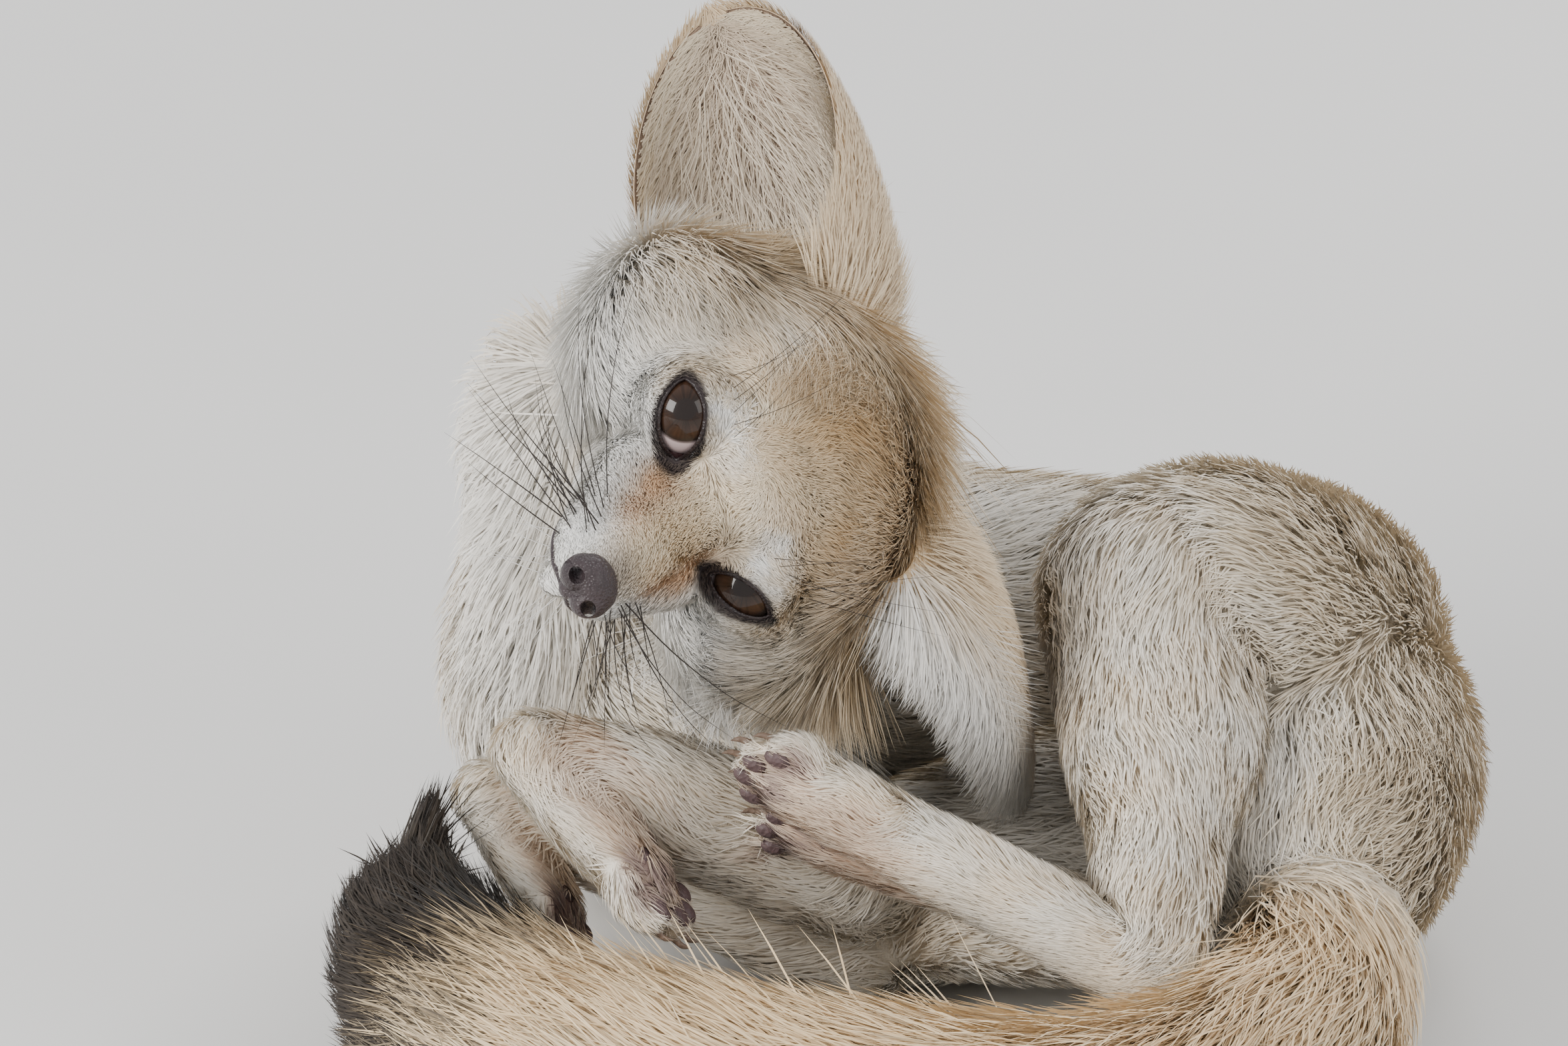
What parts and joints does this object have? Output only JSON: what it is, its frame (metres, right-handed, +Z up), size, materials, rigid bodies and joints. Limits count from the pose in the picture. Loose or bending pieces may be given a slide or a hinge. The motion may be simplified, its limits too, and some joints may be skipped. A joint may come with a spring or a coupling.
{
  "type": "fennec fox",
  "caption": "Life-size still fennec fox lying curled on its side, head turned and laid over, a hind foot raised to one of its long ears, brush wrapped round the front",
  "frame": {"origin": "centre of the box round the whole fox, at the level of the floor that it lies on", "axes": "+Z up, -Y towards the side that the face and the belly are turned to, +X towards the rump"},
  "size_m": [0.2468, 0.2668, 0.1963],
  "materials": {
    "face": "short creamy fur, white round the eyes and muzzle",
    "nose": "moist dark skin",
    "eye": "very dark brown, wet",
    "ear": "thin fur, sandy behind and cream inside",
    "coat": "dense soft fur, cream to buff",
    "foot": "short cream fur",
    "brush": "long golden cream fur",
    "brush_tip": "long black-brown fur"
  },
  "bodies": {
    "root": {"head": "face", "nose": "nose", "eye_left": "eye", "eye_right": "eye", "ear_left": "ear", "ear_right": "ear", "neck": "coat", "torso": "coat", "thigh_left": "coat", "shank_left": "coat", "hindfoot_left": "foot", "thigh_right": "coat", "shank_right": "coat", "hindfoot_right": "foot", "upper_arm_left": "coat", "forearm_left": "coat", "forepaw_left": "foot", "upper_arm_right": "coat", "forearm_right": "coat", "forepaw_right": "foot", "tail_base": "brush", "tail_rear": "brush", "tail_middle": "brush", "tail_fore": "brush", "tail_tip": "brush_tip"}
  },
  "joints": []
}
